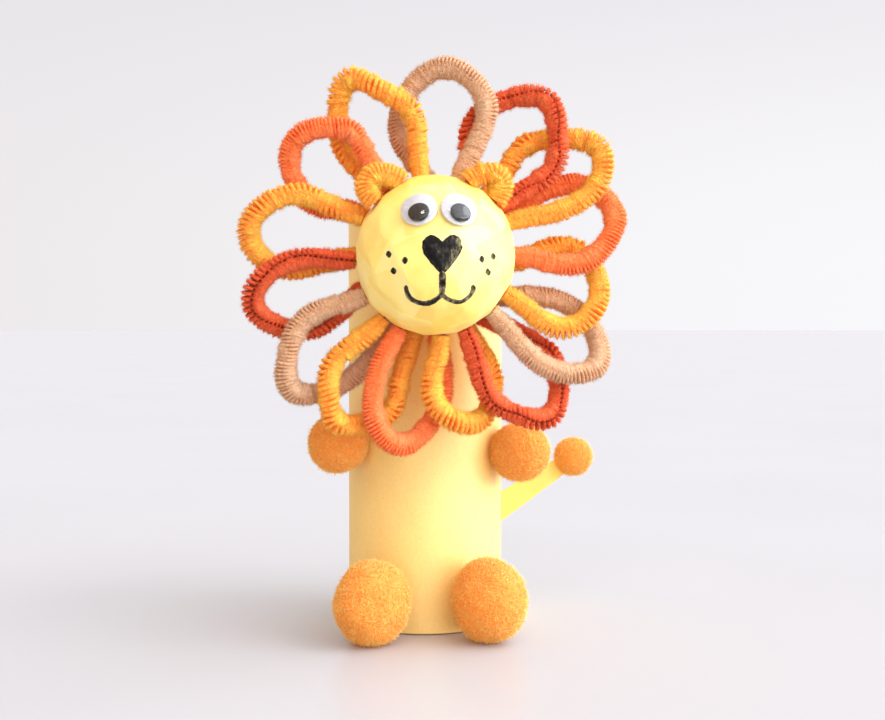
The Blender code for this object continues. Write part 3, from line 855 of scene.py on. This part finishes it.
def cover(ways, strip):
    """1 where a strip covers the head, falling to 0 over a hair's width at its edge."""
    middle_way, way, half_length, half_width = strip
    across = np.cross(way, middle_way)
    off = np.arcsin(np.clip(ways @ across, -1, 1)) * HEAD_RADIUS
    along = np.arctan2(ways @ way, ways @ middle_way)
    edge = 0.25 * MM
    side = smoothstep((half_width - np.abs(off)) / edge + 0.5)
    end = smoothstep((half_length - np.abs(along)) * HEAD_RADIUS / edge + 0.5)
    return side * end


def head_reach(ways, below=None):
    """How far the paper's outside is from the head's middle, over the first strips or over all."""
    reach = base_reach(ways)
    for strip in STRIPS[:below]:
        reach = reach + STRIP_PAPER * cover(ways, strip) * 0.5
    return reach - 0.12 * MM


def strip_material():
    """Thin creped paper, a little deeper where it lies double."""
    shader = Shader("head_strips", IOR=1.5, Specular_IOR_Level=1.0)
    stops = ((0.0, (255, 238, 148)), (0.5, (253, 226, 114)), (1.0, (250, 208, 84)))
    layers = shader.ramp(shader.stored(), stops)
    cloud = shader.between(shader.noise(190, 3, 0.5), grey(0), grey(0.6), 0.4, 0.75)
    shader.base(shader.mix(layers, colour(255, 234, 138), cloud))
    crepe = shader.noise(1500, 3, 0.55)
    shader.roughness(crepe, 0.5, 0.62)
    shader.bump(crepe, 0.04 * MM, 0.3)
    return shader.mat


def make_head():
    """The ball, and the strips of paper over it."""
    pulp = Shader("ball_pulp", roughness=0.95)
    grain = pulp.noise(2200, 4)
    pulp.base(pulp.between(grain, (226, 222, 210), (246, 244, 238)))
    pulp.bump(grain, 0.1 * MM, 0.5)
    ways, tris = icosphere(5)
    ball = Body()
    ball.add(HEAD_AT + ways * (BALL_RADIUS + 0.05 * MM * ripple(ways, 0.1, 3)[:, None]), tris)
    show(ball.make("head_ball_pulp", pulp.mat), ["head_ball"])

    skin = Body()
    ways, tris = icosphere(6)
    skin.add(HEAD_AT + ways * head_reach(ways, 0)[:, None], tris, 0.2)
    for k, strip in enumerate(STRIPS):
        add_strip(skin, k, strip)
    show(skin.make("head_paper_strips", strip_material(), 60), ["head_paper"])

    glue = Shader("dried_glue", roughness=0.3, Transmission_Weight=0.3)
    cloud = glue.noise(700, 2)
    glue.base(glue.between(cloud, (230, 224, 205), (246, 242, 228)))
    glue.bump(cloud, 0.2 * MM, 0.4)
    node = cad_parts["head_glue_pad"]
    node.data.materials.clear()
    node.data.materials.append(glue.mat)


def add_strip(skin, k, strip):
    """One strip of paper with its own thickness, over the strips below it."""
    middle_way, way, half_length, half_width = strip
    across = np.cross(way, middle_way)
    rows = max(8, int(half_length * 2 * HEAD_RADIUS / (0.9 * MM)))
    columns = 13
    along = np.linspace(-half_length, half_length, rows)
    spread = np.linspace(-1, 1, columns) * half_width / HEAD_RADIUS
    spots = np.outer(along, (9, 0, 0)) + [0, 0, k]
    ragged = 0.12 * MM / HEAD_RADIUS * ripple(spots, 0.7, 60 + k)
    off = spread + ragged[:, None] * np.abs(spread) / (half_width / HEAD_RADIUS)
    down = np.cos(along)[:, None, None] * middle_way + np.sin(along)[:, None, None] * way
    ways = np.cos(off)[..., None] * down + np.sin(off)[..., None] * across
    flat = ways.reshape(-1, 3)
    under = head_reach(flat, k)
    top = under + STRIP_PAPER * 0.5 + 0.01 * MM
    layers = sum((cover(flat, below) for below in STRIPS[:k]), np.zeros(len(flat)))
    tone = np.clip(0.15 + 0.16 * layers + np.random.default_rng(k).uniform(-0.3, 0.3), 0, 1)
    front = (HEAD_AT + flat * top[:, None]).reshape(ways.shape)
    back = (HEAD_AT + flat * (under - 0.03 * MM)[:, None]).reshape(ways.shape)
    slab(skin, front, back, tone)


# ---- the drawn face

INK_LIFT = 0.03 * MM
NOSE_MIDDLE = 0.65  # mm right of the face's middle line


def face_way(x, z):
    """Way from the head's middle to a face point, x mm right of the face's middle line and z mm up."""
    x, z = x * MM, z * MM
    y = -np.sqrt(np.maximum(HEAD_RADIUS**2 - x**2 - z**2, 1e-9))
    turn = radians(FACE_TURN)
    return unit(np.stack([x * cos(turn) - y * sin(turn), x * sin(turn) + y * cos(turn), z], -1))


def ink_patch(body, places, value):
    """Add a film of ink over a grid of face points."""
    ways = face_way(places[..., 0], places[..., 1])
    reach = head_reach(ways.reshape(-1, 3)).reshape(*ways.shape[:2], 1) + 0.02 * MM
    slab(body, HEAD_AT + ways * (reach + INK_LIFT), HEAD_AT + ways * (reach - 0.04 * MM), value)


def ink_line(body, points, widths, seed, worn):
    """A drawn stroke through some (x, z) points in mm, with a width at each, worn from 0 to 1."""
    points = np.asarray(points, float)
    steps = np.linspace(0, len(points) - 1, 14 * (len(points) - 1) + 1)
    padded = np.concatenate([[2 * points[0] - points[1]], points, [2 * points[-1] - points[-2]]])
    low = np.minimum(steps.astype(int), len(points) - 2)
    t = (steps - low)[:, None]
    a, b, c, d = (padded[low + k] for k in range(4))
    path = 0.5 * (2 * b + (c - a) * t + (2 * a - 5 * b + 4 * c - d) * t**2 + (3 * b - 3 * c + d - a) * t**3)
    way = unit(np.gradient(path, axis=0))
    across = np.stack([way[:, 1], -way[:, 0]], 1)
    half = np.interp(steps, np.arange(len(points)), widths) / 2
    far = distances_along(path)
    from_end = np.minimum(far, far[-1] - far)
    half = half * np.sqrt(np.clip(from_end / np.maximum(half, 1e-6), 0.04, 1))
    shake = 1 + 0.05 * ripple(np.outer(far, (2, 0, 0)), 0.9, seed)
    spread = np.linspace(-1, 1, 9)
    grid = path[:, None] + across[:, None] * (spread * (half * shake)[:, None])[..., None]
    value = np.repeat((worn + (1 - worn) * np.abs(spread))[None], len(path), 0)
    ink_patch(body, grid, value)


HEART = (  # the right half of the nose, from the notch round to the tip
    (0.0, 2.1), (0.75, 2.85), (1.7, 3.5), (2.75, 3.65), (3.75, 3.2), (4.5, 2.2), (4.7, 0.9), (4.3, -0.5),
    (3.4, -2.0), (2.2, -3.4), (1.1, -4.5), (0.0, -5.3),
)


def heart(rows=26):
    """A heart of (x, z) points in mm, from its middle out to its edge."""
    half = np.array(HEART)
    edge = np.concatenate([half, half[-2::-1] * [-1, 1]])
    steps = np.linspace(0, len(edge) - 1, 89)
    x, z = (np.interp(steps, np.arange(len(edge)), edge[:, k]) for k in (0, 1))
    shake = 1 + 0.02 * ripple(np.stack([x, z, z * 0], 1), 0.8, 9)
    out = np.linspace(0.001, 1, rows)[:, None]
    return np.stack([x * shake * out, z * shake * out], -1), np.repeat(out, len(steps), 1)


def ink_material():
    """Felt-pen ink, streaky where the strokes thin out and the paper shows through."""
    shader = Shader("marker_ink", Specular_IOR_Level=0.15)
    streak = shader.noise(1300, 5, 0.7, (1.0, 1.0, 0.5))
    both = shader.mix(streak, shader.noise(230, 2), 0.45)
    fade = shader.between(shader.stored(), grey(0), grey(0.2), 0, 1)
    stops = ((0.56, (10, 9, 9)), (0.66, (52, 49, 42)), (0.78, (146, 136, 100)))
    shader.base(shader.ramp(shader.mix(both, fade, 1.0, "ADD"), stops))
    shader.roughness(streak, 0.45, 0.7)
    return shader.mat


# for each stroke of the mouth its (x, z) points in mm, the widths at them, and how worn it is
MOUTH_STROKES = (
    (((0.65, -4.6), (0.75, -6.6), (0.78, -8.4), (0.8, -10.3)), (1.65, 1.6, 1.5, 1.3), 0.75),
    (((0.8, -9.6), (0.15, -10.6), (-1.5, -11.6), (-3.5, -11.95), (-5.3, -11.45), (-6.6, -10.45),
      (-7.35, -9.15), (-7.65, -7.8)), (1.1, 1.15, 1.2, 1.2, 1.2, 1.15, 1.1, 1.05), 0.5),
    (((0.8, -9.8), (1.6, -10.75), (3.1, -11.35), (4.7, -11.5), (6.2, -11.1), (7.4, -10.2),
      (8.1, -8.9), (8.05, -7.7)), (0.95, 0.95, 0.95, 0.95, 1.0, 1.05, 1.15, 1.15), 0.8),
)
WHISKER_DOTS = ((-11.65, -0.65), (-7.85, -2.15), (-10.5, -4.5), (9.95, -1.75), (13.05, -0.95), (11.5, -4.6))


def make_drawn_face():
    """Nose, mouth and whisker dots in marker ink."""
    mat = ink_material()
    nose, mouth, dots = Body(), Body(), Body()
    points, out = heart()
    worn = 0.5 * out**2 + 0.12 * np.clip(points[..., 0], -1, 3)
    ink_patch(nose, points + [NOSE_MIDDLE, 0], worn)
    for seed, (points, widths, worn) in enumerate(MOUTH_STROKES, 1):
        ink_line(mouth, points, widths, seed, worn)
    for seed, (x, z) in enumerate(WHISKER_DOTS, 20):
        points = ((x - 0.1, z + 0.8), (x, z), (x + 0.1, z - 0.8))
        ink_line(dots, points, (1.25, 1.4, 1.2), seed, 0.3 if x < 0 else 0.7)
    for body, name in ((nose, "nose_ink"), (mouth, "mouth_ink"), (dots, "whisker_dots_ink")):
        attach(body.make(name, mat), "root")


# ---- the eyes


def clear_material():
    """Clear vacuum-formed plastic: seen through, with gloss on top."""
    shader = Shader("eye_clear")
    shader.tree.nodes.remove(shader.principled)
    through = shader.add("BsdfTransparent", {"Color": grey(0.99)}).outputs["BSDF"]
    gloss = shader.add("BsdfGlossy", {"Roughness": 0.04})
    facing = shader.add("LayerWeight").outputs["Facing"]
    mirror = shader.ramp(facing, ((0.0, grey(0.042)), (0.6, grey(0.07)), (1.0, grey(0.3))))
    mix = shader.add("MixShader", {0: mirror, 1: through, 2: gloss.outputs["BSDF"]})
    shader.feed(mix.outputs["Shader"], shader.tree.nodes["Material Output"].inputs["Surface"])
    shader.bump(shader.noise(2000, 2), 0.01 * MM, 0.2, gloss)
    return shader.mat


def disc_profile(radius, base, top, slope):
    """Half of a flat disc's section, with its edges sloped off."""
    edge = radius - slope
    return [(0, base), (edge, base), (radius, base + slope), (radius, top - slope), (edge, top), (0, top)]


def dome_profile():
    """Half of the dome's section, from its foot over the crown and back inside."""
    foot = EYE_BACK_THICKNESS + DOME_FOOT_LIFT
    crown = foot + DOME_SIDE
    inner = DOME_RADIUS - DOME_WALL
    quarter = np.linspace(0, pi / 2, 18)
    outside = [(DOME_RADIUS * cos(a), crown + DOME_RISE * sin(a)) for a in quarter]
    inside = [(inner * cos(a), crown + (DOME_RISE - DOME_WALL) * sin(a)) for a in quarter[::-1]]
    return [(inner, foot), (DOME_RADIUS, foot)] + outside + inside + [(inner, foot)]


def make_eyes():
    """Stick-on eyes: moulded back, loose pupil and clear dome."""
    white = Shader("eye_white", roughness=0.3)
    haze = white.noise(900, 2)
    white.base(white.between(haze, (200, 200, 208), (209, 209, 216)))
    white.roughness(haze, 0.22, 0.4)
    black = Shader("eye_black", roughness=0.12, Specular_IOR_Level=0.1)
    dust = black.noise(3000, 4, 0.7)
    black.base(black.between(dust, (7, 6, 6), (18, 16, 16), 0.4, 0.8))
    black.roughness(dust, 0.1, 0.3)
    clear = clear_material()

    pupil_base = EYE_BACK_THICKNESS + PUPIL_LIFT
    back = disc_profile(EYE_RADIUS, 0, EYE_BACK_THICKNESS, 0.12 * MM)
    pupil = disc_profile(PUPIL_RADIUS, pupil_base, pupil_base + PUPIL_THICKNESS, 0.08 * MM)
    for side, azimuth in (("left", FACE_TURN - EYE_HALF_SPREAD), ("right", FACE_TURN + EYE_HALF_SPREAD)):
        rise = radians(EYE_RISE)
        turn = radians(azimuth)
        look = Vector((sin(turn) * cos(rise), -cos(turn) * cos(rise), sin(rise)))
        up = (Vector((0, 0, 1)) - look * look.z).normalized()
        axes = np.array([up.cross(look), up, look])
        seat = HEAD_AT + np.array(look) * (HEAD_RADIUS + GAP)
        hang, swing = PUPIL_HANG[side]
        hung = np.array([sin(radians(swing)) * hang, -cos(radians(swing)) * hang, 0])
        for part, form, profile, sides, away, mat, sharp, slot, rides in (
            ("back", "moulding", back, 96, 0, white.mat, 50, "eye_white", "root"),
            ("pupil", "disc", pupil, 80, hung, black.mat, 50, "eye_black", f"pupil_{side}"),
            ("dome", "clear", dome_profile(), 96, 0, clear, 60, "eye_clear", "root"),
        ):
            points, tris = turned(profile, sides)
            body = Body()
            body.add(seat + (points + away) @ axes, tris)
            obj = body.make(f"eye_{side}_{part}_{form}", mat, sharp)
            show(obj, [f"eye_{side}_{part}"], rides)


# ---- the tail


def make_tail():
    """A strip of the same card, cut by hand."""
    shader = Shader("tail_card", roughness=0.75)
    fibre = shader.noise(2600, 4, 0.65)
    paint = shader.between(shader.noise(200, 3), (243, 204, 98), (247, 212, 112))
    specks = shader.between(fibre, (234, 190, 84), (250, 218, 124), 0.35, 0.65)
    shader.base(shader.mix(paint, specks, 0.3))
    shader.bump(fibre, 0.04 * MM, 0.35)

    low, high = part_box("tail_strip")
    start, end = np.array([TAIL_START, TAIL_END]) + [TUBE_AXIS.x, 0]
    along = unit(end - start)
    across = np.array([-along[1], along[0]])
    rows, columns = 90, 13
    t = np.linspace(0, 1, rows)
    half = np.interp(t, (0, 1), TAIL_HALF_WIDTHS)
    ragged = 0.1 * MM * ripple(np.outer(t, (12, 0, 0)), 0.8, 77)
    spread = np.linspace(-1, 1, columns)
    flat = start + (end - start) * t[:, None, None] + across * ((half + ragged)[:, None] * spread)[..., None]
    bow = 0.15 * MM * ripple(np.concatenate([flat / (9 * MM), flat[..., :1] * 0], -1).reshape(-1, 3), 1.0, 78)
    bow = np.abs(bow).reshape(rows, columns)
    strip = Body()
    slab(strip, *(np.stack([flat[..., 0], y + bow, flat[..., 1]], -1) for y in (low.y, high.y)))
    show(strip.make("tail_strip_card", shader.mat, 50), ["tail_strip"])


# ---- camera, floor and light


def make_camera():
    """A 50 mm lens a third of a metre away, a little to the puppet's right."""
    distance, height = 0.340, 0.080
    azimuth, yaw, pitch = 4.5, 0.816, 1.45
    data = bpy.data.cameras.new("camera")
    data.lens = 50
    data.sensor_width = 36
    data.sensor_fit = "HORIZONTAL"
    data.clip_start = 0.01
    camera = bpy.data.objects.new("camera", data)
    SCENE.collection.objects.link(camera)
    around = radians(azimuth)
    camera.location = (TUBE_AXIS.x - distance * sin(around), TUBE_AXIS.y - distance * cos(around), height)
    camera.rotation_euler = (radians(90 - pitch), 0, -radians(azimuth + yaw))
    SCENE.camera = camera


def sun_light(name, towards, width, power):
    """A light far off in one direction, with its width in degrees."""
    data = bpy.data.lights.new(name, "SUN")
    data.energy = power
    data.angle = radians(width)
    lamp = bpy.data.objects.new(name, data)
    lamp.rotation_euler = Vector(towards).to_track_quat("Z", "Y").to_euler()
    SCENE.collection.objects.link(lamp)


# linear colours of the light from the left, from the right and from below
WALL_LIGHT = (0.95, 0.72, 0.5, 1)
WINDOW_LIGHT = (2.75, 2.85, 3.15, 1)
TABLE_LIGHT = (0.7, 0.66, 0.6, 1)


def make_stage():
    """A glossy pale table top and soft light from the right."""
    shader = Shader("floor", roughness=0.3, Specular_IOR_Level=0.12)
    shader.base(shader.between(shader.noise(6, 2), (187, 187, 189), (190, 190, 192)))
    floor = Body()
    floor.add([(-30, -10, 0), (30, -10, 0), (30, 60, 0), (-30, 60, 0)], [(0, 1, 2), (0, 2, 3)])
    floor = floor.make("floor", shader.mat)
    floor.visible_shadow = False  # lets the surround's light from below stand for the table's bounce

    sun_light("window", (0.72, -0.4, 0.56), 38, 0.95)
    sun_light("ceiling_lamp", (-0.2, -0.76, 0.62), 9, 0.3)
    sun_light("low_lamp", (0.6, -0.8, 0.02), 40, 0.5)
    sun_light("side_window", (0.95, -0.28, 0.12), 25, 0.8)
    SCENE.view_settings.view_transform = "Standard"


def make_surround():
    """A pale backdrop in view, painted lighter to the right, and a room that lights the puppet, brighter to
    the right.
    """
    world = bpy.data.worlds.new("surround")
    SCENE.world = world
    nodes = Nodes(world)
    way = nodes.add("TexCoord").outputs["Generated"]
    x, y, z = nodes.add("SeparateXYZ", {"Vector": way}).outputs

    room = nodes.mix(WALL_LIGHT, WINDOW_LIGHT, nodes.spread(x, -0.5, 0.65))
    room = nodes.mix(TABLE_LIGHT, room, nodes.spread(z, -0.05, 0.0))
    # painted light: the backdrop is lighter to the right and greyer up high, as the room's light falls on it
    backdrop = nodes.mix(colour(236, 232, 234), colour(249, 248, 250), nodes.spread(x, -0.5, 0.5))
    backdrop = nodes.mix(backdrop, colour(230, 227, 232), nodes.spread(z, 0.05, 0.4))
    behind = nodes.math("MULTIPLY", nodes.spread(y, -0.1, 0.35), nodes.spread(x, 0.75, 0.42))
    in_view = nodes.add("LightPath").outputs["Is Camera Ray"]
    seen = nodes.mix(room, backdrop, nodes.math("MAXIMUM", behind, in_view))
    nodes.feed(seen, nodes.tree.nodes["Background"].inputs["Color"])


make_camera()
make_stage()
make_surround()
make_core()
make_wrap()
make_head()
make_drawn_face()
make_eyes()
make_stems()
make_pompoms()
make_tail()
